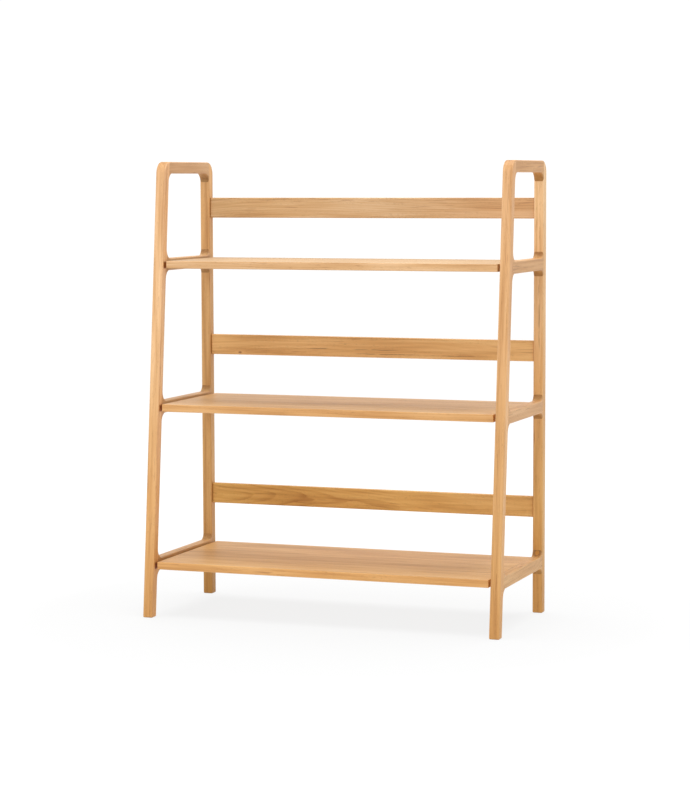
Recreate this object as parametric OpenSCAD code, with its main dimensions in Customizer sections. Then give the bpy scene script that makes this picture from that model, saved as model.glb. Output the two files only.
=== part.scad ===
// Ladder shelf: two raked end frames carry three shelves of growing depth,
// and three slats brace the back. Millimetres, +Z up, front towards -Y.
// The origin is on the floor, midway between the feet.

/* [Overall] */
// Width across the outer faces of the end frames
total_w = 980; // [700:10:1200]
// Depth at the floor, from the front feet to the back feet
base_d = 432; // [400:2:520]
// Depth across the top of the end frames
top_d = 318; // [280:2:380]
// Height of the end frames
total_h = 1200; // [1150:10:1300]

/* [End frames] */
// Side of a leg's square section, seen from above
leg_w = 27; // [25:1:32]
// Height of the rails beside the shelves
rail_h = 32; // [30:1:40]
// Height of the rails across the top
top_rail_h = 31; // [30:1:36]
// Radius of the hollow corners where a rail meets a leg
cove_r = 25; // [10:1:30]
// Radius of those at the back ends of the rails beside the shelves
back_cove_r = 18; // [10:1:30]
// Radius of the rounded corners at the top of the end frames
crown_r = 33; // [28:1:40]
// Rounding of the legs' outer long edges
leg_edge_r = 3; // [1:0.5:5]

/* [Shelves] */
// Height of the upper shelf's top face
upper_shelf_z = 939; // [880:1:960]
// Height of the middle shelf's top face
middle_shelf_z = 562; // [500:1:620]
// Height of the lower shelf's top face
lower_shelf_z = 147; // [120:1:200]
// Thickness of a shelf
shelf_t = 20; // [18:1:25]
// Dark gap between a shelf's end and the end frame
end_gap = 7.5; // [3:0.5:9]
// How far a shelf's front edge stands back from the legs' front face
front_setback = 7; // [2:1:20]
// How far a shelf's back edge stands in from the legs' back face
back_setback = 9; // [2:1:20]
// Rounding of the long edges of shelves and slats
board_edge_r = 2.5; // [1:0.5:4]

/* [Back slats] */
// Height of a slat
slat_h = 55; // [45:1:80]
// Thickness of a slat
slat_t = 18; // [16:1:20]
// Height of a slat's lower edge above the shelf below it
slat_rise = 109; // [80:1:140]
// How far a slat's back face stands in from the legs' back face
slat_setback = 2; // [0:0.5:5]

/* [Wooden dowels] */
// Diameter of every dowel
dowel_d = 8; // [6:1:8]
// Distance between the two dowels of a frame joint
frame_dowel_pitch = 12; // [11:0.5:12]
// Depth of a frame dowel in the leg
dowel_in_leg = 12; // [8:1:12]
// Depth of a frame dowel in the rail
dowel_in_rail = 22; // [16:1:30]
// Depth of a shelf or slat dowel in the frame
dowel_in_frame = 13; // [10:1:18]
// Length of a shelf or slat dowel in the board
dowel_in_board = 22; // [16:1:30]
// Play of a dowel in its hole, on the diameter
dowel_play = 0.1; // [0.05:0.05:0.3]

/* [Cam fittings] */
// Diameter of a cam lock
cam_d = 15; // [12:1:15]
// Height of a cam lock
cam_h = 12.5; // [11:0.5:13]
// Distance from a shelf's end to its cam locks
shelf_cam_reach = 29; // [24:1:34]
// Distance from a slat's end to its cam locks
slat_cam_reach = 24; // [24:1:34]
// Distance from a rail's end to the first fitting of its shelf
fitting_inset = 52; // [45:1:70]
// Distance from a cam bolt to the dowel beside it along a rail
fitting_pitch = 38; // [32:1:50]
// Distance of a slat's dowels above and below its cam bolt
slat_dowel_rise = 16; // [14:1:18]

/* [Hidden] */
$fn = 64;
EPS = 0.5;                                       // overshoot of a cutting tool
COVE_LAP = 4;                                    // how far a cove's block laps into its rail
COVE_NOSE = 3.5;                                 // how far short of its tip a cove's block ends
LEG_LAP = 10;                                    // overshoot of rails past the legs' faces
HOLE_END = 1;                                    // free depth past a dowel's end
BOLT_D = 6;                                      // cam bolt: thread and shank
BOLT_NECK_D = 3.6;
BOLT_HEAD_D = 6;
BOLT_NECK_L = 5;
BOLT_HEAD_L = 3;
BOLT_THREAD_L = 11;
BOLT_BORE_D = 8;                                 // bore for the shank in a board
BOLT_PLAY = 0.1;
CAM_PLAY = 0.3;
CAM_RECESS = 0.3;                                // a cam lock sits this far below the surface
CAM_SLOT_D = 7;                                  // hollow of a cam lock, for the bolt's head
CAM_CROSS = [9, 1.6, 2];                         // driver recess: length, width, depth
SPACER_D = 14;
SPACER_HOLE_D = 6.6;

front_y = -base_d / 2;
back_y = base_d / 2;
side_x = total_w / 2;                            // outer face of an end frame
frame_x = side_x - leg_w;                        // inner face of an end frame
shelf_end_x = frame_x - end_gap;
rake = atan((base_d - top_d) / total_h);
up_leg = [sin(rake), cos(rake)];                 // a front leg's direction, as [y, z]
leg_back = back_y - leg_w;                       // front face of a back leg

shelf_zs = [upper_shelf_z, middle_shelf_z, lower_shelf_z];
CROWN_DROP = 3;                                  // keeps the top dowels clear of the crown
top_joint_z = total_h - top_rail_h / 2 - CROWN_DROP;
joint_zs = concat([top_joint_z], [for (z = shelf_zs) z - shelf_t / 2]);

// Front and back faces of a front leg at height z.
function leg_face_y(z) = front_y + z * tan(rake);
function leg_inner_y(z) = leg_face_y(z) + leg_w;
function shelf_front_y(z) = leg_face_y(z - shelf_t / 2) + front_setback;
function slat_mid_z(z) = z + slat_rise + slat_h / 2;
slat_mid_y = back_y - slat_setback - slat_t / 2;

// Places of a shelf's cam bolts and dowels along its rails.
function bolt_ys(z) = [leg_inner_y(z) + fitting_inset, leg_back - fitting_inset];
function dowel_ys(z) = [
    leg_inner_y(z) + fitting_inset + fitting_pitch,
    leg_back - fitting_inset - fitting_pitch
];

WOOD = "burlywood";
BOARD = "wheat";
BEECH = "tan";
ZINC = "silver";
NYLON = "dimgray";

// ---- Helpers ----

function reversed(points) = [for (i = [len(points) - 1:-1:0]) points[i]];

// Draws the right-hand piece, or its mirror image on the left.
module on_side(side) {
    if (side > 0) children();
    else mirror([1, 0, 0]) children();
}

module both_sides() {
    for (side = [-1, 1]) on_side(side) children();
}

// Extrudes an outline drawn as (y, z) along X, from x to x + w.
module along_x(x, w) {
    translate([x, 0, 0]) rotate([90, 0, 90]) linear_extrude(w) children();
}

module rod_x(x0, x1, y, z, d) {
    translate([x0, y, z]) rotate([0, 90, 0]) cylinder(d = d, h = x1 - x0);
}

module rod_y(y0, y1, x, z, d) {
    translate([x, y0, z]) rotate([-90, 0, 0]) cylinder(d = d, h = y1 - y0);
}

// Rectangle w by h with its lower left corner at 0, all corners rounded.
module round_rect(w, h, r) {
    translate([r, 0]) square([w - 2 * r, h]);
    translate([0, r]) square([w, h - 2 * r]);
    for (x = [r, w - r], y = [r, h - r]) translate([x, y]) circle(r);
}

// A cove hollows out the corner where a rail meets a leg: [corner, leg's direction,
// rail's direction, radius]. These give half its angle, its reach from the corner and its
// centre.
function cove_half(cove) = acos(cove[1] * cove[2]) / 2;
function cove_reach(cove) = cove[3] / tan(cove_half(cove));
function cove_centre(cove) =
    cove[0] + (cove[1] + cove[2]) / norm(cove[1] + cove[2]) * cove[3] / sin(cove_half(cove));

// Block that fills a cove's corner. It laps into the rail and past the leg's face, and it
// ends a little short of the cove's tip, so that the tip is a thin nose, not a knife edge.
module cove_block(cove) {
    rail_point = cove[0] + cove[2] * cove_reach(cove);
    nose_point = cove[0] + cove[1] * (cove_reach(cove) - COVE_NOSE);
    foot = -cove[1] * COVE_LAP;
    outline = [
        cove[0] + foot - cove[2] * LEG_LAP, rail_point + foot, rail_point,
        cove_centre(cove), cove_centre(cove) + (nose_point - cove_centre(cove)) * 1.5
    ];
    polygon(cross(cove[2], cove[1]) > 0 ? outline : reversed(outline));
}

// ---- End frames ----

// Side view of an end frame without its openings, with the two rounded crowns.
module frame_outline() {
    slack = 90 + rake;                           // angle at the front crown
    front_reach = crown_r / tan(slack / 2);
    top = [leg_face_y(total_h), total_h];
    front_centre = [top[0] + front_reach, total_h - crown_r];
    back_centre = [back_y - crown_r, total_h - crown_r];
    polygon([
        [front_y, 0], [back_y, 0], [back_y, back_centre[1]], back_centre,
        [back_centre[0], total_h], [front_centre[0], total_h],
        front_centre, top - up_leg * front_reach
    ]);
    for (centre = [front_centre, back_centre])
        translate(centre) circle(crown_r, $fn = 96);
}

// Leg section: a square with its two outer edges rounded; y = 0 is the outer face.
module leg_section(depth) {
    r = leg_edge_r;
    translate([0, r]) square([leg_w, depth - r]);
    translate([r, 0]) square([leg_w - 2 * r, depth]);
    for (x = [r, leg_w - r]) translate([x, r]) circle(r);
}

module frame_dowel_holes(face_of) {
    for (z = joint_zs, dz = [-1, 1] * frame_dowel_pitch / 2) {
        y = face_of == "front" ? leg_inner_y(z + dz) : leg_back;
        toward_leg = face_of == "front" ? -1 : 1;
        near = y + toward_leg * (dowel_in_leg + HOLE_END);
        far = y - toward_leg * (dowel_in_rail + HOLE_END);
        rod_y(min(near, far), max(near, far), side_x - leg_w / 2, z + dz, dowel_d);
    }
}

module front_leg() {
    difference() {
        intersection() {
            along_x(frame_x - EPS, leg_w + 2 * EPS) frame_outline();
            translate([frame_x, front_y, 0])
                rotate([-rake, 0, 0])
                translate([0, 0, -leg_w])
                linear_extrude(total_h + 3 * leg_w)
                leg_section(leg_w * cos(rake));
        }
        frame_dowel_holes("front");
    }
}

module back_leg() {
    difference() {
        intersection() {
            along_x(frame_x - EPS, leg_w + 2 * EPS) frame_outline();
            translate([frame_x, back_y, -EPS])
                mirror([0, 1, 0])
                linear_extrude(total_h + 2 * EPS)
                leg_section(leg_w);
        }
        frame_dowel_holes("back");
        for (z = shelf_zs) slat_fitting_holes(slat_mid_z(z));
    }
}

// The two coves at one edge of a rail: dir is +1 above the rail and -1 below it, and back_r
// is the radius of the cove at the back leg.
function rail_coves(z, dir, back_r) = [
    [[leg_inner_y(z), z], up_leg * dir, [1, 0], cove_r],
    [[leg_back, z], [0, dir], [-1, 0], back_r]
];

module rail_bar(low, high) {
    translate([leg_inner_y(low) - LEG_LAP, low])
        square([leg_back - leg_inner_y(low) + 2 * LEG_LAP, high - low]);
}

// The space between the two legs of an end frame.
module between_legs() {
    polygon([
        [leg_inner_y(0), 0], [leg_back, 0],
        [leg_back, total_h + LEG_LAP], [leg_inner_y(total_h + LEG_LAP), total_h + LEG_LAP]
    ]);
}

// Rail with the drawn bar and its coves, hollowed out and drilled for its dowels.
module coved_rail(coves) {
    difference() {
        along_x(frame_x, leg_w) intersection() {
            between_legs();
            union() {
                children();
                for (cove = coves) cove_block(cove);
            }
        }
        for (cove = coves) {
            centre = cove_centre(cove);
            rod_x(frame_x - EPS, side_x + EPS, centre[0], centre[1], 2 * cove[3], $fn = 96);
        }
        frame_dowel_holes("front");
        frame_dowel_holes("back");
    }
}

module top_rail() {
    low = total_h - top_rail_h;
    coved_rail(rail_coves(low, -1, cove_r)) intersection() {
        frame_outline();
        rail_bar(low, total_h);
    }
}

module shelf_rail(shelf_z) {
    z = shelf_z - shelf_t / 2;
    low = z - rail_h / 2;
    high = z + rail_h / 2;
    difference() {
        coved_rail(concat(
            rail_coves(high, 1, back_cove_r), rail_coves(low, -1, back_cove_r)
        )) rail_bar(low, high);
        shelf_fitting_holes(shelf_z);
    }
}

module left_front_leg() color(WOOD) on_side(-1) front_leg();
module right_front_leg() color(WOOD) on_side(1) front_leg();
module left_back_leg() color(WOOD) on_side(-1) back_leg();
module right_back_leg() color(WOOD) on_side(1) back_leg();
module left_top_rail() color(WOOD) on_side(-1) top_rail();
module right_top_rail() color(WOOD) on_side(1) top_rail();
module left_upper_rail() color(WOOD) on_side(-1) shelf_rail(upper_shelf_z);
module right_upper_rail() color(WOOD) on_side(1) shelf_rail(upper_shelf_z);
module left_middle_rail() color(WOOD) on_side(-1) shelf_rail(middle_shelf_z);
module right_middle_rail() color(WOOD) on_side(1) shelf_rail(middle_shelf_z);
module left_lower_rail() color(WOOD) on_side(-1) shelf_rail(lower_shelf_z);
module right_lower_rail() color(WOOD) on_side(1) shelf_rail(lower_shelf_z);

// ---- Shelves and slats ----

// Holes of one shelf's right end, in the rail and in the board.
module shelf_fitting_holes(shelf_z) {
    z = shelf_z - shelf_t / 2;
    for (y = bolt_ys(z)) {
        rod_x(shelf_end_x, frame_x + BOLT_THREAD_L + HOLE_END, y, z, BOLT_D + BOLT_PLAY);
        rod_x(shelf_end_x - shelf_cam_reach, shelf_end_x + EPS, y, z, BOLT_BORE_D);
        translate([shelf_end_x - shelf_cam_reach, y, shelf_z - shelf_t - EPS])
            cylinder(d = cam_d, h = EPS + CAM_RECESS + cam_h + CAM_PLAY);
    }
    for (y = dowel_ys(z))
        rod_x(shelf_end_x - dowel_in_board - HOLE_END,
              frame_x + dowel_in_frame + HOLE_END, y, z, dowel_d);
}

// Holes of one slat's right end, in the back leg and in the slat.
module slat_fitting_holes(z) {
    rod_x(frame_x - EPS, frame_x + BOLT_THREAD_L + HOLE_END, slat_mid_y, z,
          BOLT_D + BOLT_PLAY);
    rod_x(frame_x - slat_cam_reach, frame_x, slat_mid_y, z, BOLT_BORE_D);
    cam_bore_h = CAM_RECESS + cam_h + CAM_PLAY;
    slat_back = back_y - slat_setback;
    rod_y(slat_back - cam_bore_h, slat_back + EPS / 2, frame_x - slat_cam_reach, z, cam_d);
    for (dz = [-1, 1] * slat_dowel_rise)
        rod_x(frame_x - dowel_in_board - HOLE_END,
              frame_x + dowel_in_frame + HOLE_END, slat_mid_y, z + dz, dowel_d);
}

module shelf(shelf_z) {
    y = shelf_front_y(shelf_z);
    difference() {
        along_x(-shelf_end_x, 2 * shelf_end_x)
            translate([y, shelf_z - shelf_t])
            round_rect(back_y - back_setback - y, shelf_t, board_edge_r);
        both_sides() shelf_fitting_holes(shelf_z);
    }
}

module back_slat(shelf_z) {
    difference() {
        along_x(-frame_x, 2 * frame_x)
            translate([back_y - slat_setback - slat_t, shelf_z + slat_rise])
            round_rect(slat_t, slat_h, board_edge_r);
        both_sides() slat_fitting_holes(slat_mid_z(shelf_z));
    }
}

module upper_shelf() color(BOARD) shelf(upper_shelf_z);
module middle_shelf() color(BOARD) shelf(middle_shelf_z);
module lower_shelf() color(BOARD) shelf(lower_shelf_z);
module upper_back_slat() color(BOARD) back_slat(upper_shelf_z);
module middle_back_slat() color(BOARD) back_slat(middle_shelf_z);
module lower_back_slat() color(BOARD) back_slat(lower_shelf_z);

// ---- Dowels ----

module frame_dowels() {
    d = dowel_d - dowel_play;
    x = side_x - leg_w / 2;
    for (joint = joint_zs, dz = [-1, 1] * frame_dowel_pitch / 2) {
        z = joint + dz;
        rod_y(leg_inner_y(z) - dowel_in_leg, leg_inner_y(z) + dowel_in_rail, x, z, d);
        rod_y(leg_back - dowel_in_rail, leg_back + dowel_in_leg, x, z, d);
    }
}

module left_frame_dowels() color(BEECH) on_side(-1) frame_dowels();
module right_frame_dowels() color(BEECH) on_side(1) frame_dowels();

module shelf_dowels() color(BEECH) both_sides()
    for (shelf_z = shelf_zs) {
        z = shelf_z - shelf_t / 2;
        for (y = dowel_ys(z))
            rod_x(shelf_end_x - dowel_in_board, frame_x + dowel_in_frame, y, z,
                  dowel_d - dowel_play);
    }

module slat_dowels() color(BEECH) both_sides()
    for (shelf_z = shelf_zs, dz = [-1, 1] * slat_dowel_rise)
        rod_x(frame_x - dowel_in_board, frame_x + dowel_in_frame, slat_mid_y,
              slat_mid_z(shelf_z) + dz, dowel_d - dowel_play);

// ---- Cam fittings ----

// Cam bolt along X: its head is at the cam's axis, its thread beyond the frame's face.
module cam_bolt(cam_x, y, z) {
    head_x = cam_x - BOLT_HEAD_L / 2;
    neck_x = head_x + BOLT_HEAD_L;
    shank_x = neck_x + BOLT_NECK_L;
    rod_x(head_x, neck_x, y, z, BOLT_HEAD_D);
    rod_x(neck_x, shank_x, y, z, BOLT_NECK_D);
    rod_x(shank_x, frame_x + BOLT_THREAD_L, y, z, BOLT_D);
}

// Cam lock with its driver face at z = 0 and the bolt's slot open towards +X.
module cam_lock(bolt_height) {
    difference() {
        cylinder(d = cam_d - CAM_PLAY, h = cam_h);
        translate([0, 0, bolt_height]) {
            sphere(d = CAM_SLOT_D);
            rod_x(0, cam_d, 0, 0, CAM_SLOT_D);
        }
        for (turn = [45, 135])
            rotate([0, 0, turn])
            translate([-CAM_CROSS[0] / 2, -CAM_CROSS[1] / 2, -EPS])
            cube([CAM_CROSS[0], CAM_CROSS[1], CAM_CROSS[2] + EPS]);
    }
}

module shelf_cam_bolts() color(ZINC) both_sides()
    for (shelf_z = shelf_zs) {
        z = shelf_z - shelf_t / 2;
        for (y = bolt_ys(z)) cam_bolt(shelf_end_x - shelf_cam_reach, y, z);
    }

module shelf_cam_locks() color(ZINC) both_sides()
    for (shelf_z = shelf_zs) {
        z = shelf_z - shelf_t / 2;
        for (y = bolt_ys(z))
            translate([shelf_end_x - shelf_cam_reach, y, shelf_z - shelf_t + CAM_RECESS])
            cam_lock(shelf_t / 2 - CAM_RECESS);
    }

module shelf_spacers() color(NYLON) both_sides()
    for (shelf_z = shelf_zs) {
        z = shelf_z - shelf_t / 2;
        for (y = bolt_ys(z))
            difference() {
                rod_x(shelf_end_x, frame_x, y, z, SPACER_D);
                rod_x(shelf_end_x - EPS, frame_x + EPS, y, z, SPACER_HOLE_D);
            }
    }

module slat_cam_bolts() color(ZINC) both_sides()
    for (shelf_z = shelf_zs)
        cam_bolt(frame_x - slat_cam_reach, slat_mid_y, slat_mid_z(shelf_z));

module slat_cam_locks() color(ZINC) both_sides()
    for (shelf_z = shelf_zs)
        translate([frame_x - slat_cam_reach, back_y - slat_setback - CAM_RECESS,
                   slat_mid_z(shelf_z)])
        rotate([90, 0, 0])
        cam_lock(slat_t / 2 - CAM_RECESS);

left_front_leg();
left_back_leg();
right_front_leg();
right_back_leg();
left_top_rail();
left_upper_rail();
left_middle_rail();
left_lower_rail();
right_top_rail();
right_upper_rail();
right_middle_rail();
right_lower_rail();
upper_shelf();
middle_shelf();
lower_shelf();
upper_back_slat();
middle_back_slat();
lower_back_slat();
left_frame_dowels();
right_frame_dowels();
shelf_cam_bolts();
shelf_cam_locks();
shelf_spacers();
shelf_dowels();
slat_cam_bolts();
slat_cam_locks();
slat_dowels();
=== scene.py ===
"""Looks of the ladder shelf: shaped wooden pieces, their grain, the fittings and a plain studio.

Metres, +Z up, front towards -Y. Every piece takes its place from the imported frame.
"""

import math

import bmesh
import bpy
from mathutils import Matrix, Vector


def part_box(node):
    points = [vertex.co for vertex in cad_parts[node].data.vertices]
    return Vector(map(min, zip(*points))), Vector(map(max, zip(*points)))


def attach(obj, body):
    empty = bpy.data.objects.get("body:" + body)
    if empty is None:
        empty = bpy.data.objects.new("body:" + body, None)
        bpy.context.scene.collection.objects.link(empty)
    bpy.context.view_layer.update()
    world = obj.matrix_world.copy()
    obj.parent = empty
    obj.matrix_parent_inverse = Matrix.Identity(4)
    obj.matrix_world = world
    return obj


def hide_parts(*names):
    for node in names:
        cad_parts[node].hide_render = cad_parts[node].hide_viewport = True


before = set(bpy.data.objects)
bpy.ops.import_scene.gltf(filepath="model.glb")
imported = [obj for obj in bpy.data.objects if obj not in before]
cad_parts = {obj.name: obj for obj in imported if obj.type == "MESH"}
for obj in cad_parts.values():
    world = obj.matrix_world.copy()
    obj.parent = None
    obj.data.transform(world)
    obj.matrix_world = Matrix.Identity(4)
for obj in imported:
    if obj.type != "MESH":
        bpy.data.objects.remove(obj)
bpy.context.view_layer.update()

# ---- Dimensions of the object ----

TOP_DEPTH = 0.318  # depth across the top of an end frame
RAIL_H = 0.032
TOP_RAIL_H = 0.031
COVE_R = 0.025  # hollow corners between rails and legs
BACK_COVE_R = 0.018  # those at the back ends of the shelves' rails
CROWN_R = 0.033  # round corners at the top of an end frame
EDGE_R = 0.0032  # rounding of the end frames' edges
FOOT_R = 0.0036  # rounding of a foot's lower corners, a little more than EDGE_R
BOARD_R = 0.0025  # rounding of the long edges of shelves and slats
BOARD_EASE = 0.0010  # easing of their ends
CAM_BORE_D = 0.015
CAM_BORE_DEPTH = 0.0131
SHELF_CAM_REACH = 0.029  # from a shelf's end to its cam locks
SLAT_CAM_REACH = 0.024  # from a slat's end to its cam locks
FITTING_INSET = 0.052  # from a leg's inner face to a shelf's cam locks
SEAM = 0.00005  # half of the hairline between a rail's end and a leg

ARC_STEPS = 10  # segments of a rounded corner of an outline
ROUND_STEPS = 5  # segments of a rounded edge
BORE_STEPS = 32
FLAT_ANGLE = math.radians(0.2)  # faces that meet at less become one
SHARP_ANGLE = math.radians(32)  # edges that turn more are shaded sharp

LEVELS = ("lower", "middle", "upper")
SIDES = {"left": -1, "right": 1}

frame_x, side_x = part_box("right_back_leg")[0].x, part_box("right_back_leg")[1].x
front_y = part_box("right_front_leg")[0].y
back_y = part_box("right_back_leg")[1].y
leg_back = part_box("right_back_leg")[0].y
leg_w = side_x - frame_x
total_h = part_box("right_top_rail")[1].z
rake = math.atan((back_y - front_y - TOP_DEPTH) / total_h)


def leg_face_y(z):
    """Front face of a front leg at height z."""
    return front_y + z * math.tan(rake)


def leg_inner_y(z):
    return leg_face_y(z) + leg_w


def middle_of(node):
    low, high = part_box(node)
    return (low + high) / 2


def middle_z(node):
    low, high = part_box(node)
    return (low.z + high.z) / 2


# ---- Mesh building ----


def rounded_loop(corners, inset):
    """Points of an outline whose corners are rounded, moved into the wood by inset.

    corners is [((a, b), radius)], with the wood on the left of every side.
    """
    points = []
    for i, (corner, radius) in enumerate(corners):
        here = Vector(corner)
        arriving = (here - Vector(corners[i - 1][0])).normalized()
        leaving = (Vector(corners[(i + 1) % len(corners)][0]) - here).normalized()
        turn = math.atan2(arriving.cross(leaving), arriving.dot(leaving))
        bend = math.copysign(1, turn)
        to_wood = Vector((-arriving.y, arriving.x))
        reach = radius * math.tan(abs(turn) / 2)
        centre = here - arriving * reach + to_wood * bend * radius
        spoke = -to_wood * bend * (radius - bend * inset)
        for step in range(ARC_STEPS + 1):
            points.append(centre + Matrix.Rotation(turn * step / ARC_STEPS, 2) @ spoke)
    return points


def rounded_levels(low, high, radius):
    """[(place, inset, wear)] across a thickness whose two faces have rounded edges."""
    levels = []
    for step in range(ROUND_STEPS + 1):
        angle = math.pi / 2 * step / ROUND_STEPS
        drop = radius * (1 - math.sin(angle))
        levels.append((drop, radius * (1 - math.cos(angle)), math.sin(2 * angle)))
    first = [(low + drop, inset, wear) for drop, inset, wear in reversed(levels)]
    last = [(high - drop, inset, wear) for drop, inset, wear in levels]
    return first + last


def sweep_outline(bm, corners, levels):
    """Adds the wall that follows an outline across the levels; returns its two rims."""
    wear_layer = bm.verts.layers.float["edge_wear"]
    rings = []
    for x, inset, wear in levels:
        ring = [bm.verts.new((x, p.x, p.y)) for p in rounded_loop(corners, inset)]
        for vert in ring:
            vert[wear_layer] = wear
        rings.append(ring)
    for ring, after in zip(rings, rings[1:]):
        for i in range(len(ring)):
            bm.faces.new((ring[i - 1], ring[i], after[i], after[i - 1]))
    return [
        [bm.edges.get((ring[i - 1], ring[i])) for i in range(len(ring))]
        for ring in (rings[0], rings[-1])
    ]


def new_solid():
    bm = bmesh.new()
    bm.verts.layers.float.new("edge_wear")
    return bm


def outline_solid(outlines, levels):
    """Solid across the levels along X; the first outline is its rim, the rest are windows."""
    bm = new_solid()
    rims = [sweep_outline(bm, corners, levels) for corners in outlines]
    for end, direction in ((0, -1), (1, 1)):
        edges = [edge for rim in rims for edge in rim[end]]
        bmesh.ops.triangle_fill(bm, edges=edges, normal=(direction, 0, 0), use_beauty=True)
    bmesh.ops.recalc_face_normals(bm, faces=bm.faces)
    return bm


def cut_away(bm, place, direction):
    """Cuts the solid at a plane, drops what lies on its direction's side and closes the cut."""
    geometry = bm.verts[:] + bm.edges[:] + bm.faces[:]
    bmesh.ops.bisect_plane(
        bm, geom=geometry, dist=1e-7, plane_co=place, plane_no=direction, clear_outer=True
    )
    cut_edges = [edge for edge in bm.edges if edge.is_boundary]
    bmesh.ops.holes_fill(bm, edges=cut_edges, sides=0)


def drill(bm, face, centres, radius, depth):
    """Sinks round blind holes into a flat face."""
    inward = -face.normal.copy()
    across = inward.orthogonal()
    rim = list(face.edges)
    for centre in centres:
        spokes = [
            Matrix.Rotation(2 * math.pi * i / BORE_STEPS, 3, inward) @ across * radius
            for i in range(BORE_STEPS)
        ]
        mouth = [bm.verts.new(centre + spoke) for spoke in spokes]
        end = [bm.verts.new(centre + spoke + inward * depth) for spoke in spokes]
        for i in range(BORE_STEPS):
            bm.faces.new((mouth[i - 1], mouth[i], end[i], end[i - 1]))
        bm.faces.new(end)
        rim += [bm.edges.get((mouth[i - 1], mouth[i])) for i in range(BORE_STEPS)]
    bmesh.ops.delete(bm, geom=[face], context="FACES_ONLY")
    bmesh.ops.triangle_fill(bm, edges=rim, normal=-inward, use_beauty=True)


def finish_piece(bm, node, material):
    """Turns the solid into an object that stands for a CAD node."""
    bmesh.ops.dissolve_limit(bm, angle_limit=FLAT_ANGLE, verts=bm.verts, edges=bm.edges)
    bmesh.ops.recalc_face_normals(bm, faces=bm.faces)
    mesh = bpy.data.meshes.new(node + "_shaped")
    bm.to_mesh(mesh)
    bm.free()
    mesh.shade_smooth()
    mesh.set_sharp_from_angle(angle=SHARP_ANGLE)
    mesh.materials.append(material)
    piece = bpy.data.objects.new(node + "_shaped", mesh)
    bpy.context.scene.collection.objects.link(piece)
    weighted = piece.modifiers.new("face weighted normals", "WEIGHTED_NORMAL")
    weighted.keep_sharp = True
    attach(piece, "root")
    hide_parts(node)


# ---- Wooden pieces ----


def window(low, high, upper_back_r):
    """Opening of an end frame between two heights, with the wood on its left."""
    return [
        ((leg_inner_y(low), low), COVE_R),
        ((leg_inner_y(high), high), COVE_R),
        ((leg_back, high), upper_back_r),
        ((leg_back, low), BACK_COVE_R),
    ]


def end_frame(side):
    """One whole end frame, before it is divided into legs and rails."""
    rails = [middle_z(level + "_shelf") for level in LEVELS]
    undersides = [z - RAIL_H / 2 for z in rails] + [total_h - TOP_RAIL_H]
    tops = [z + RAIL_H / 2 for z in rails]
    outer = [
        ((front_y, 0), FOOT_R),
        ((leg_inner_y(0), 0), FOOT_R),
        ((leg_inner_y(undersides[0]), undersides[0]), COVE_R),
        ((leg_back, undersides[0]), BACK_COVE_R),
        ((leg_back, 0), FOOT_R),
        ((back_y, 0), FOOT_R),
        ((back_y, total_h), CROWN_R),
        ((leg_face_y(total_h), total_h), CROWN_R),
    ]
    back_radii = (BACK_COVE_R, BACK_COVE_R, COVE_R)
    windows = [window(*spans) for spans in zip(tops, undersides[1:], back_radii)]
    low_x, high_x = sorted((side * frame_x, side * side_x))
    return outline_solid([outer] + windows, rounded_levels(low_x, high_x, EDGE_R))


def divide_frame(whole):
    """{part: solid} for the legs and rails of an end frame."""
    away_from_leg = Vector((0, math.cos(rake), -math.sin(rake)))
    front_place = Vector((0, leg_inner_y(0), 0))
    back_place = Vector((0, leg_back, 0))
    backward = Vector((0, 1, 0))
    parts = {"front_leg": whole.copy(), "back_leg": whole.copy()}
    cut_away(parts["front_leg"], front_place + away_from_leg * SEAM, away_from_leg)
    cut_away(parts["back_leg"], back_place - backward * SEAM, -backward)
    between = whole.copy()
    cut_away(between, front_place + away_from_leg * 3 * SEAM, -away_from_leg)
    cut_away(between, back_place - backward * 3 * SEAM, backward)
    heights = [middle_z(level + "_shelf") for level in LEVELS] + [total_h]
    limits = [0] + [(a + b) / 2 for a, b in zip(heights, heights[1:])] + [total_h + leg_w]
    for level, low, high in zip(LEVELS + ("top",), limits, limits[1:]):
        rail = between.copy()
        others = [vert for vert in rail.verts if not low < vert.co.z < high]
        bmesh.ops.delete(rail, geom=others, context="VERTS")
        parts[level + "_rail"] = rail
    between.free()
    whole.free()
    return parts


def board(node):
    """Board with rounded long edges and eased ends, in the box of a CAD node."""
    low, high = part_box(node)
    outline = [
        ((low.y, low.z), BOARD_R),
        ((high.y, low.z), BOARD_R),
        ((high.y, high.z), BOARD_R),
        ((low.y, high.z), BOARD_R),
    ]
    return outline_solid([outline], rounded_levels(low.x, high.x, BOARD_EASE))


def flat_face(bm, direction):
    """The largest face that looks along a direction."""
    facing = [face for face in bm.faces if face.normal.dot(Vector(direction)) > 0.999]
    return max(facing, key=lambda face: face.calc_area())


def shelf_board(node):
    """Shelf with the blind holes of its cam locks in the underside."""
    bm = board(node)
    low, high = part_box(node)
    ys = (leg_inner_y(middle_z(node)) + FITTING_INSET, leg_back - FITTING_INSET)
    xs = (low.x + SHELF_CAM_REACH, high.x - SHELF_CAM_REACH)
    centres = [Vector((x, y, low.z)) for x in xs for y in ys]
    drill(bm, flat_face(bm, (0, 0, -1)), centres, CAM_BORE_D / 2, CAM_BORE_DEPTH)
    return bm


def slat_board(node):
    """Slat with the blind holes of its cam locks in the back."""
    bm = board(node)
    low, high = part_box(node)
    xs = (low.x + SLAT_CAM_REACH, high.x - SLAT_CAM_REACH)
    centres = [Vector((x, high.y, middle_z(node))) for x in xs]
    drill(bm, flat_face(bm, (0, 1, 0)), centres, CAM_BORE_D / 2, CAM_BORE_DEPTH)
    return bm


# ---- Materials ----


def srgb(red, green, blue):
    """Linear colour of an 8-bit sRGB value."""
    channels = [c / 255 for c in (red, green, blue)]
    linear = [c / 12.92 if c < 0.04045 else ((c + 0.055) / 1.055) ** 2.4 for c in channels]
    return (*linear, 1)


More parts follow.
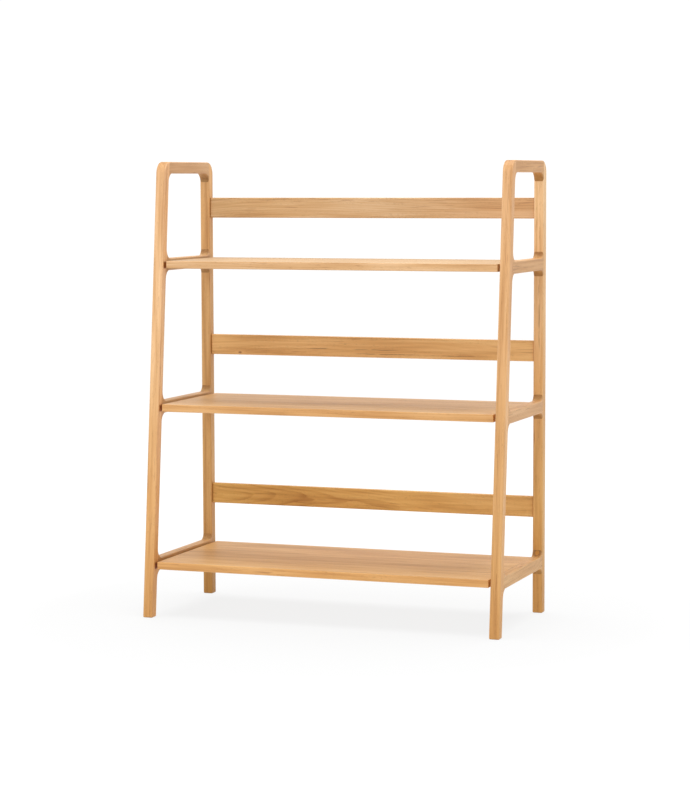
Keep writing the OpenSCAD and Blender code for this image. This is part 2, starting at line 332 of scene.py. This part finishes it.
class Shader:
    """The nodes of one material; each method returns the socket of what it makes."""

    def __init__(self, name):
        self.material = bpy.data.materials.new(name)
        self.material.use_nodes = True
        self.nodes = self.material.node_tree.nodes
        self.links = self.material.node_tree.links
        self.surface = self.nodes["Principled BSDF"]

    def put(self, socket, value):
        if isinstance(value, bpy.types.NodeSocket):
            self.links.new(value, socket)
        else:
            socket.default_value = value

    def math(self, operation, *values):
        node = self.nodes.new("ShaderNodeMath")
        node.operation = operation
        for socket, value in zip(node.inputs, values):
            self.put(socket, value)
        return node.outputs[0]

    def vector(self, operation, *values):
        node = self.nodes.new("ShaderNodeVectorMath")
        node.operation = operation
        for socket, value in zip(node.inputs, values):
            self.put(socket, value)
        output = "Value" if operation in ("DOT_PRODUCT", "LENGTH") else "Vector"
        return node.outputs[output]

    def combine(self, *values):
        node = self.nodes.new("ShaderNodeCombineXYZ")
        for socket, value in zip(node.inputs, values):
            self.put(socket, value)
        return node.outputs[0]

    def noise(self, vector, stretch, detail=2.0, output="Fac"):
        """Noise with so many features per metre along each axis of the vector."""
        node = self.nodes.new("ShaderNodeTexNoise")
        self.put(node.inputs["Vector"], self.vector("MULTIPLY", vector, stretch))
        node.inputs["Scale"].default_value = 1
        node.inputs["Detail"].default_value = detail
        return node.outputs[output]

    def line_noise(self, value):
        """Noise that depends on one number."""
        node = self.nodes.new("ShaderNodeTexNoise")
        node.noise_dimensions = "1D"
        self.put(node.inputs["W"], value)
        node.inputs["Scale"].default_value = 1
        node.inputs["Detail"].default_value = 1
        return node.outputs["Fac"]

    def remap(self, value, low, high, to_low=0.0, to_high=1.0, smooth=False):
        """Takes low to to_low and high to to_high, and holds what lies outside them."""
        node = self.nodes.new("ShaderNodeMapRange")
        if smooth:
            node.interpolation_type = "SMOOTHSTEP"
        for socket, number in zip(node.inputs, (value, low, high, to_low, to_high)):
            self.put(socket, number)
        return node.outputs[0]

    def mix(self, factor, first, second, blend="MIX"):
        node = self.nodes.new("ShaderNodeMix")
        node.data_type = "RGBA"
        node.blend_type = blend
        self.put(node.inputs["Factor"], factor)
        self.put(node.inputs["A"], first)
        self.put(node.inputs["B"], second)
        return node.outputs["Result"]

    def ramp(self, value, *stops):
        """Colours between stops, each (position, colour)."""
        node = self.nodes.new("ShaderNodeValToRGB")
        self.put(node.inputs[0], value)
        elements = node.color_ramp.elements
        for _ in stops[2:]:
            elements.new(1)
        for element, (position, colour) in zip(elements, stops):
            element.position = position
            element.color = colour
        return node.outputs[0]

    def bump(self, height, distance, strength):
        node = self.nodes.new("ShaderNodeBump")
        node.inputs["Strength"].default_value = strength
        node.inputs["Distance"].default_value = distance
        self.put(node.inputs["Height"], height)
        return node.outputs[0]

    def object_place(self):
        return self.nodes.new("ShaderNodeTexCoord").outputs["Object"]

    def object_normal(self):
        return self.nodes.new("ShaderNodeTexCoord").outputs["Normal"]

    def attribute(self, name):
        node = self.nodes.new("ShaderNodeAttribute")
        node.attribute_name = name
        return node.outputs["Fac"]


ALONG_X, ALONG_Y, ALONG_Z = (1, 0, 0), (0, 1, 0), (0, 0, 1)
LEANING = (0, math.sin(rake), math.cos(rake))

LIGHT_WOOD = srgb(237, 195, 140)
MID_WOOD = srgb(220, 172, 112)
DARK_WOOD = srgb(178, 124, 66)
PORE = srgb(116, 74, 34)
ENDS_TONE = srgb(190, 178, 118)
SHELF_ENDS_PAINTED_LIGHT = (1.6, 1.6, 1.2, 1)  # painted light: these ends lie deep in the shaded gaps
# Painted shade in the gaps at the shelves' ends, on the frames' inner faces.
GAP_SHADE = srgb(168, 128, 72)
# Painted shade at the ends of the slats, where they meet the legs.
SEAM_SHADE = srgb(180, 142, 96)
RUST = srgb(146, 84, 34)
KNOT = srgb(116, 62, 28)
AMBER = srgb(244, 178, 74)  # the heart of a large knot
PALE = srgb(255, 232, 196)
WHITE = (1, 1, 1, 1)

RING = 0.0034  # width of a growth ring
GAP_BLUR = 0.001  # soft edge of the painted shade in the gaps at the shelves' ends
GAP_FADE = 0.005  # how far it fades out towards the top of a shelf
SEAM_BLUR = 0.003  # how far the painted shade of a joint reaches along a slat
LARGE_KNOT = 0.005  # least radius of a knot with an amber heart
FAR = 9.0  # a distance in knot radii at which a knot has no effect
NO_PITH = (0.21, 0.06)  # far from the heart of the log: straight grain


def parted(s, u, v, w, knots):
    """Bends v around the knots; returns it and the distance to the nearest, in knot radii."""
    nearest = FAR
    for centre, size in knots:
        offset = s.vector("SUBTRACT", s.combine(u, v, w), centre)
        away = s.vector("LENGTH", s.vector("MULTIPLY", offset, (0.6 / size, 1 / size, 1 / size)))
        nearest = s.math("MINIMUM", nearest, away)
        v = s.math("SUBTRACT", v, s.remap(away, 0, 5, 2.2 * size, 0, smooth=True))
    return v, nearest


def swaying(s, u, v, w, seed):
    """Place in the grain, which sways a little; the seed makes each plank its own."""
    grain = s.vector("ADD", s.combine(u, v, w), (seed * 7.3, seed * 3.1, seed * 1.7))
    sway = s.math("MULTIPLY_ADD", s.noise(grain, (2.2, 12, 12), detail=1.0), 0.016, -0.008)
    return s.vector("ADD", grain, s.combine(0, sway, 0))


def growth_rings(s, u, v, w, grain, pith, taper, swirl):
    """Late wood of the rings round the pith, from 0 to 1."""
    drift = s.noise(grain, (1.3, 6, 6), detail=1.0, output="Color")
    drift = s.vector("MULTIPLY", s.vector("SUBTRACT", drift, (0.5, 0.5, 0.5)), (0, 0.034, 0.034))
    from_pith = s.vector("SUBTRACT", s.combine(0, v, w), (0, *pith))
    radius = s.vector("LENGTH", s.vector("ADD", from_pith, drift))
    radius = s.math("MULTIPLY_ADD", u, taper, radius)
    ring = s.math("DIVIDE", radius, RING)
    ring = s.math("MULTIPLY_ADD", s.noise(grain, (7, 80, 80)), 0.5, ring)
    ring = s.math("MULTIPLY_ADD", s.noise(grain, (7, 24, 24), detail=1.0), swirl, ring)
    phase = s.math("FRACT", ring)
    late_wood = s.math(
        "MULTIPLY", s.remap(phase, 0.35, 0.86, smooth=True), s.remap(phase, 1.0, 0.93)
    )
    ring_weight = s.remap(s.line_noise(s.math("MULTIPLY", ring, 0.37)), 0.3, 0.7, 0.15, 1.0)
    return s.math("MULTIPLY", late_wood, ring_weight)


def patchy(s, marks, grain, patches, least, most):
    """Keeps marks only where a coarser noise along the grain is high."""
    return s.math("MULTIPLY", marks, s.remap(s.noise(grain, patches, detail=1.0), least, most))


def dark_line(s, u, v, grain, line):
    """Mask of a dark line that wanders and breaks along the grain."""
    across, start, end = line
    wander = s.noise(grain, (9, 0, 0), detail=3.0)
    course = s.math("MULTIPLY_ADD", wander, 0.008, across - 0.004)
    offset = s.math("ABSOLUTE", s.math("SUBTRACT", v, course))
    width = s.remap(offset, 0.0016, 0.0004, smooth=True)
    breaks = s.remap(s.noise(grain, (15, 60, 60), detail=3.0), 0.43, 0.52)
    ends = s.math("MULTIPLY", s.remap(u, start, start + 0.05), s.remap(u, end, end - 0.05))
    return s.math("MULTIPLY", s.math("MULTIPLY", width, breaks), ends)


def with_knots(s, colour, nearest, knots):
    """Draws the knots: a core, a dark rim and a stained surround."""
    core = AMBER if knots[0][1] > LARGE_KNOT else KNOT
    knot_colour = s.ramp(
        nearest, (0.0, core), (0.55, core), (0.7, KNOT), (0.85, DARK_WOOD), (1.0, KNOT)
    )
    return s.mix(s.remap(nearest, 0.6, 1.4, 0.7, 0, smooth=True), colour, knot_colour)


def tone_along(s, u, tones_and_painted_light):
    """The tones blended along the grain, from each stop to the next."""
    (reached, tone), *others = tones_and_painted_light
    tone = (*tone, 1)
    for end, next_tone in others:
        tone = s.mix(s.remap(u, reached, end), tone, (*next_tone, 1))
        reached = end
    return tone


def wood(
    name, along, across, seed, middle=(0, 0, 0), tones_and_painted_light=((0, (1, 1, 1)),), front_painted_light=None,
    end_tone_and_painted_light=ENDS_TONE, matt=0.40, edges=(PALE, 0.14), pith=NO_PITH, taper=0.004, swirl=0.8,
    boldness=0.28, figured_to=None, knots=(), dark_lines=(), painted_shade=None,
):
    """Oiled teak whose grain runs along one direction.

    tones_and_painted_light is [(along, factors)]: the colour is multiplied by them, blended from
    one place to the next; they hold the plank's own tone and painted light and shade.
    front_painted_light multiplies that of the faces that look forward, as painted light, and
    end_tone_and_painted_light that of the sawn ends: end grain, and on the shelves painted
    light.
    matt is the least roughness. edges is the colour of the rounded edges and its strength.
    pith is the heart of the log from the piece's middle, across and through the board.
    taper makes the rings drift along the grain, which draws arches on flat-sawn faces, and
    swirl bends them by so many rings. boldness is how dark they are; past figured_to they
    are faint.
    knots is [((along, across, through), radius)] and dark_lines is [(across, start, end)],
    both from the piece's middle.
    painted_shade makes the mask and the colour of painted shade where the piece lies close to
    another piece.
    """
    s = Shader(name)
    along, across = Vector(along).normalized(), Vector(across).normalized()
    place = s.vector("SUBTRACT", s.object_place(), middle)
    u = s.vector("DOT_PRODUCT", place, along)
    v = s.vector("DOT_PRODUCT", place, across)
    w = s.vector("DOT_PRODUCT", place, along.cross(across))
    v, nearest_knot = parted(s, u, v, w, knots)
    grain = swaying(s, u, v, w, seed)

    rings = growth_rings(s, u, v, w, grain, pith, taper, swirl)
    if figured_to is not None:
        fading = s.remap(u, figured_to - 0.04, figured_to + 0.04, 1, 0.3, smooth=True)
        rings = s.math("MULTIPLY", rings, fading)
    streaks = s.remap(s.noise(grain, (5, 130, 130), detail=3.0), 0.34, 0.68)
    fibres = s.noise(grain, (22, 1500, 1500), detail=2.0)
    broad = s.remap(s.noise(grain, (3, 32, 32), detail=1.0), 0.3, 0.7)
    shade = s.math("MULTIPLY", rings, boldness)
    shade = s.math("MULTIPLY_ADD", streaks, 0.36, shade)
    shade = s.math("MULTIPLY_ADD", fibres, 0.22, shade)
    shade = s.math("MULTIPLY_ADD", broad, 0.28, shade)
    colour = s.ramp(shade, (0.12, LIGHT_WOOD), (0.50, MID_WOOD), (1.0, DARK_WOOD))

    pores = s.remap(s.noise(grain, (95, 1900, 1900), detail=1.0), 0.62, 0.70)
    pores = patchy(s, pores, grain, (9, 160, 160), 0.45, 0.62)
    colour = s.mix(s.math("MULTIPLY", pores, 0.55), colour, PORE)
    dashes = s.remap(s.noise(grain, (14, 330, 330), detail=1.0), 0.63, 0.70, smooth=True)
    dashes = patchy(s, dashes, grain, (3, 40, 40), 0.50, 0.60)
    colour = s.mix(s.math("MULTIPLY", dashes, 0.5), colour, RUST)
    for line in dark_lines:
        line_mask = dark_line(s, u, v, grain, line)
        colour = s.mix(s.math("MULTIPLY", line_mask, 0.7), colour, PORE)
    if knots:
        colour = with_knots(s, colour, nearest_knot, knots)

    facing = s.math("ABSOLUTE", s.vector("DOT_PRODUCT", s.object_normal(), along))
    end_grain = s.remap(facing, 0.1, 1.0, smooth=True)
    # End grain is darker. The shelves' ends are made lighter instead, as painted light in their
    # shaded gaps.
    end_colour = s.mix(s.math("MULTIPLY", rings, 0.5), end_tone_and_painted_light, DARK_WOOD)
    colour = s.mix(s.math("MULTIPLY", end_grain, 0.7), colour, end_colour, "MULTIPLY")
    # Painted shade next to other pieces: in the gaps at the shelves' ends and where the slats
    # meet the legs.
    if painted_shade:
        mask, shade_colour = painted_shade(s)
        colour = s.mix(mask, colour, shade_colour, "MULTIPLY")
    worn = s.math("MULTIPLY", s.attribute("edge_wear"), s.remap(streaks, 0, 1, 0.35, 1.0))
    edge_colour, edge_strength = edges
    colour = s.mix(s.math("MULTIPLY", worn, edge_strength), colour, edge_colour)
    # The plank's tone along the grain, together with painted light and shade.
    colour = s.mix(1.0, colour, tone_along(s, u, tones_and_painted_light), "MULTIPLY")
    # Painted light: the faces that look forward are made lighter or darker than the rest.
    if front_painted_light:
        frontal = s.remap(s.vector("DOT_PRODUCT", s.object_normal(), ALONG_Y), -0.5, -0.9)
        colour = s.mix(frontal, colour, (*front_painted_light, 1), "MULTIPLY")
    s.put(s.surface.inputs["Base Color"], colour)

    roughness = s.math("MULTIPLY_ADD", fibres, 0.16, matt)
    roughness = s.math("MULTIPLY_ADD", pores, 0.2, roughness)
    roughness = s.math("MULTIPLY_ADD", end_grain, 0.15, roughness)
    roughness = s.math("MULTIPLY_ADD", worn, -0.06, roughness)
    s.put(s.surface.inputs["Roughness"], roughness)

    height = s.math("MULTIPLY_ADD", fibres, 0.35, s.math("MULTIPLY", rings, -0.2))
    height = s.math("MULTIPLY_ADD", pores, -0.8, height)
    s.put(s.surface.inputs["Normal"], s.bump(height, 0.00012, 0.7))
    return s.material


def painted_gap_shade(side):
    """Painted shade on an end frame's inner face, in the gaps where the ends of the shelves
    cover it.
    """

    def mask(s):
        place = s.object_place()
        y = s.vector("DOT_PRODUCT", place, ALONG_Y)
        z = s.vector("DOT_PRODUCT", place, ALONG_Z)
        covered = 0.0
        for level in LEVELS:
            low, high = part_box(level + "_shelf")
            above = s.remap(z, low.z - GAP_BLUR, low.z + GAP_BLUR)
            below = s.remap(z, high.z, high.z - GAP_FADE)
            behind = s.remap(y, low.y - GAP_BLUR, low.y + GAP_BLUR)
            one = s.math("MULTIPLY", s.math("MULTIPLY", above, below), behind)
            covered = s.math("MAXIMUM", covered, one)
        inward = s.vector("DOT_PRODUCT", s.object_normal(), (-side, 0, 0))
        return s.math("MULTIPLY", covered, s.remap(inward, 0.5, 0.9)), GAP_SHADE

    return mask


def painted_seam_shade(node):
    """Painted shade on the last of a slat, where it meets the legs."""
    half = (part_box(node)[1].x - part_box(node)[0].x) / 2

    def mask(s):
        x = s.math("ABSOLUTE", s.vector("DOT_PRODUCT", s.object_place(), ALONG_X))
        return s.remap(x, half - SEAM_BLUR, half), SEAM_SHADE

    return mask


def zinc():
    """Zinc-plated die casting: grainy, with a cloudy tone."""
    s = Shader("zinc")
    place = s.object_place()
    cloud = s.noise(place, (420, 420, 420), detail=3.0)
    grain = s.noise(place, (5200, 5200, 5200))
    colour = s.ramp(cloud, (0.3, srgb(168, 170, 172)), (0.7, srgb(206, 207, 208)))
    s.put(s.surface.inputs["Base Color"], colour)
    s.surface.inputs["Metallic"].default_value = 1
    s.put(s.surface.inputs["Roughness"], s.remap(grain, 0.3, 0.7, 0.28, 0.46))
    s.put(s.surface.inputs["Normal"], s.bump(grain, 0.00004, 0.5))
    return s.material


def nylon():
    """Dark moulded plastic with a fine spark-eroded skin."""
    s = Shader("nylon")
    place = s.object_place()
    cloud = s.noise(place, (300, 300, 300))
    skin = s.noise(place, (6500, 6500, 6500))
    colour = s.ramp(cloud, (0.3, srgb(52, 46, 42)), (0.7, srgb(66, 60, 55)))
    s.put(s.surface.inputs["Base Color"], colour)
    s.put(s.surface.inputs["Roughness"], s.remap(skin, 0.3, 0.7, 0.5, 0.68))
    s.put(s.surface.inputs["Normal"], s.bump(skin, 0.00003, 0.5))
    return s.material


# ---- The pieces ----

# Each piece is cut from its own plank. Its colour is multiplied by these, each at so many
# metres along the grain from the piece's middle. Besides the plank's own tone they hold
# painted light and shade: the legs darken towards their feet as painted shade under the
# shelves, the upper shelf's top is darkened against the white it reflects, and the other
# factors are partly painted light too, making whole pieces lighter or darker.
PLANK_TONES_AND_PAINTED_LIGHT = {
    "left_front_leg": [
        (-0.6, (0.93, 0.78, 0.56)), (-0.3, (1.0, 0.87, 0.70)), (0.05, (1.18, 1.20, 1.36)),
        (0.5, (1.03, 0.99, 1.08)),
    ],
    "right_front_leg": [
        (-0.6, (0.92, 0.77, 0.54)), (-0.3, (0.99, 0.90, 0.77)), (0.05, (1.06, 1.00, 1.00)),
        (0.5, (0.97, 0.89, 0.90)),
    ],
    # Painted shade: this foot, under the lowest shelf, is much darker.
    "left_back_leg": [
        (-0.6, (0.55, 0.42, 0.13)), (-0.42, (0.80, 0.72, 0.50)), (-0.2, (0.84, 0.79, 0.60)),
        (0.5, (0.91, 0.85, 0.77)),
    ],
    "right_back_leg": [
        (-0.6, (0.78, 0.62, 0.33)), (-0.3, (0.90, 0.82, 0.56)), (0.1, (0.97, 0.89, 0.79)),
        (0.5, (1.10, 1.16, 1.32)),
    ],
    "left_top_rail": [(0, (0.77, 0.73, 0.77))],
    "right_top_rail": [(0, (0.82, 0.72, 0.63))],
    "left_upper_rail": [(0, (0.80, 0.76, 0.78))],
    "right_upper_rail": [(0, (0.82, 0.73, 0.65))],
    "left_middle_rail": [(0, (0.84, 0.80, 0.78))],
    "right_middle_rail": [(0, (0.86, 0.79, 0.76))],
    "left_lower_rail": [(0, (0.85, 0.79, 0.68))],
    "right_lower_rail": [(0, (0.88, 0.81, 0.69))],
    # Painted shade: the top is darkened against the white it reflects; its front faces get
    # painted light in LOOKS.
    "upper_shelf": [(-0.3, (0.67, 0.72, 0.86)), (0.3, (0.72, 0.79, 0.96))],
    "middle_shelf": [(0, (0.97, 0.96, 0.95))],
    "lower_shelf": [(0, (0.98, 0.94, 0.79))],
    "upper_back_slat": [
        (-0.3, (0.84, 0.86, 0.92)), (0.1, (0.87, 0.94, 1.15)), (0.4, (0.89, 0.87, 0.97)),
    ],
    "middle_back_slat": [(-0.3, (1.09, 1.07, 0.94)), (0.1, (1.15, 1.17, 1.10))],
    "lower_back_slat": [
        (-0.2, (0.94, 0.88, 0.50)), (0.1, (1.13, 1.18, 0.88)), (0.4, (1.03, 1.00, 0.76)),
    ],
}
# What else is particular to a piece: see wood.
# Each front tone here is painted light on the faces that look forward.
LOOKS = {
    "upper_shelf": {"matt": 0.5, "front_painted_light": (1.41, 1.29, 1.20), "edges": (DARK_WOOD, 0.4)},
    "middle_shelf": {"front_painted_light": (0.99, 0.87, 0.73)},
    "lower_shelf": {"front_painted_light": (1.06, 0.96, 0.89)},
    "upper_back_slat": {"pith": (0.05, -0.05), "taper": 0.012, "swirl": 1.5},
    "middle_back_slat": {
        "knots": [((-0.377, -0.021, 0.009), 0.003)],
        "dark_lines": [(-0.006, -0.20, 0.10), (-0.018, -0.06, 0.36)],
    },
    "lower_back_slat": {
        "pith": (0.0, -0.08), "taper": 0.03, "swirl": 3.0, "boldness": 0.42, "figured_to": 0.06,
    },
    "right_back_leg": {"front_painted_light": (1.09, 1.14, 1.25), "dark_lines": [(0.003, 0.09, 0.24)]},
    "right_lower_rail": {"knots": [((0.178, 0.024, 0), 0.0105)]},
}


def make_end_frames():
    """Both end frames, each as two legs and four rails."""
    for side_name, side in SIDES.items():
        for number, (part, solid) in enumerate(divide_frame(end_frame(side)).items()):
            node = f"{side_name}_{part}"
            seed = number + 3 + 9 * side
            along = {"front_leg": LEANING, "back_leg": ALONG_Z}.get(part, ALONG_Y)
            across = ALONG_X if part.endswith("leg") else ALONG_Z
            material = wood(
                node + "_wood", along, across, seed,
                middle=middle_of(node), tones_and_painted_light=PLANK_TONES_AND_PAINTED_LIGHT[node], painted_shade=painted_gap_shade(side),
                **LOOKS.get(node, {}),
            )
            finish_piece(solid, node, material)


def make_boards():
    """The shelf and the back slat of each level."""
    for number, level in enumerate(LEVELS):
        shelf, slat = level + "_shelf", level + "_back_slat"
        material = wood(
            shelf + "_wood", ALONG_X, ALONG_Y, 21 + number,
            middle=middle_of(shelf), tones_and_painted_light=PLANK_TONES_AND_PAINTED_LIGHT[shelf], end_tone_and_painted_light=SHELF_ENDS_PAINTED_LIGHT,
            pith=(0.05, -0.16), boldness=0.16, **LOOKS[shelf],
        )
        finish_piece(shelf_board(shelf), shelf, material)
        material = wood(
            slat + "_wood", ALONG_X, ALONG_Z, 31 + number,
            middle=middle_of(slat), tones_and_painted_light=PLANK_TONES_AND_PAINTED_LIGHT[slat], edges=(DARK_WOOD, 0.45),
            painted_shade=painted_seam_shade(slat), **LOOKS.get(slat, {}),
        )
        finish_piece(slat_board(slat), slat, material)


def finish_fittings():
    """Better materials for the CAD nodes that stay."""
    metal, plastic = zinc(), nylon()
    beech = [(0, (0.97, 0.88, 0.78))]
    frame_dowel = wood("frame_dowel_beech", ALONG_Y, ALONG_Z, 41, tones_and_painted_light=beech)
    board_dowel = wood("board_dowel_beech", ALONG_X, ALONG_Z, 42, tones_and_painted_light=beech)
    finishes = {
        "left_frame_dowels": frame_dowel,
        "right_frame_dowels": frame_dowel,
        "shelf_dowels": board_dowel,
        "slat_dowels": board_dowel,
        "shelf_cam_bolts": metal,
        "slat_cam_bolts": metal,
        "shelf_cam_locks": metal,
        "slat_cam_locks": metal,
        "shelf_spacers": plastic,
    }
    for node, material in finishes.items():
        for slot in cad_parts[node].material_slots:
            slot.material = material


# ---- Studio ----

CAMERA_PLACE = (2.2054, -6.0500, 1.1553)
CAMERA_YAW = 20.01  # degrees to the left of +Y
CAMERA_PITCH = 5.17  # degrees downwards
CAMERA_ROLL = -0.17
CAMERA_LENS = 110.3  # millimetres, for a sensor whose long side is 36


def make_camera():
    data = bpy.data.cameras.new("camera")
    data.lens = CAMERA_LENS
    data.sensor_width = 36
    camera = bpy.data.objects.new("camera", data)
    bpy.context.scene.collection.objects.link(camera)
    turn = Matrix.Rotation(math.radians(CAMERA_YAW), 4, "Z")
    tilt = Matrix.Rotation(math.radians(90 - CAMERA_PITCH), 4, "X")
    roll = Matrix.Rotation(math.radians(CAMERA_ROLL), 4, "Z")
    camera.matrix_world = Matrix.Translation(CAMERA_PLACE) @ turn @ tilt @ roll
    bpy.context.scene.camera = camera


def soft_light(name, place, target, size, power, only=None):
    """Area light; with only, it lights just that object, though all the others shade it."""
    data = bpy.data.lights.new(name, "AREA")
    data.shape = "RECTANGLE"
    data.size, data.size_y = size
    data.energy = power
    light = bpy.data.objects.new(name, data)
    bpy.context.scene.collection.objects.link(light)
    light.location = place
    light.rotation_euler = (Vector(target) - Vector(place)).to_track_quat("-Z", "Y").to_euler()
    if only:
        lit = bpy.data.collections.new(name)
        lit.objects.link(only)
        light.light_linking.receiver_collection = lit


def make_floor():
    """Pale floor, partly self-lit, so that only a soft shadow shows on it."""
    bm = bmesh.new()
    bmesh.ops.create_grid(bm, x_segments=1, y_segments=1, size=12)
    mesh = bpy.data.meshes.new("floor")
    bm.to_mesh(mesh)
    bm.free()
    s = Shader("floor_white")
    s.surface.inputs["Base Color"].default_value = (0.03, 0.03, 0.03, 1)
    s.surface.inputs["Roughness"].default_value = 0.9
    s.surface.inputs["Specular IOR Level"].default_value = 0
    s.surface.inputs["Emission Color"].default_value = WHITE
    away = s.vector("LENGTH", s.object_place())
    s.put(s.surface.inputs["Emission Strength"], s.remap(away, 0.8, 1.8, 0.86, 1.0))
    mesh.materials.append(s.material)
    floor = bpy.data.objects.new("floor", mesh)
    bpy.context.scene.collection.objects.link(floor)
    return floor


def make_world():
    """White surroundings: a dim fill for matt surfaces, pure white behind and in reflections."""
    world = bpy.data.worlds.new("studio")
    bpy.context.scene.world = world
    world.use_nodes = True
    nodes, links = world.node_tree.nodes, world.node_tree.links
    filling = nodes.new("ShaderNodeLightPath").outputs["Is Diffuse Ray"]
    strength = nodes.new("ShaderNodeMapRange")
    strength.inputs["To Min"].default_value = 1.05
    strength.inputs["To Max"].default_value = 0.50
    links.new(filling, strength.inputs["Value"])
    background = nodes["Background"]
    background.inputs["Color"].default_value = WHITE
    links.new(strength.outputs[0], background.inputs["Strength"])


def make_studio():
    scene = bpy.context.scene
    scene.view_settings.view_transform = "Standard"
    scene.view_settings.look = "None"
    make_camera()
    make_world()
    floor = make_floor()
    middle = (0, 0, 0.6)
    soft_light("front softbox", (-1.6, -3.6, 3.2), (0, 0, 0.8), (2.6, 2.6), 56)
    soft_light("side softbox", (4.2, -1.6, 2.2), middle, (3.0, 2.5), 26)
    soft_light("overhead softbox", (0.1, 0.4, 4.0), middle, (3.2, 3.2), 130)
    soft_light("floor softbox", (0, 0.3, 4.0), middle, (5.0, 5.0), 950, only=floor)


make_studio()
make_end_frames()
make_boards()
finish_fittings()
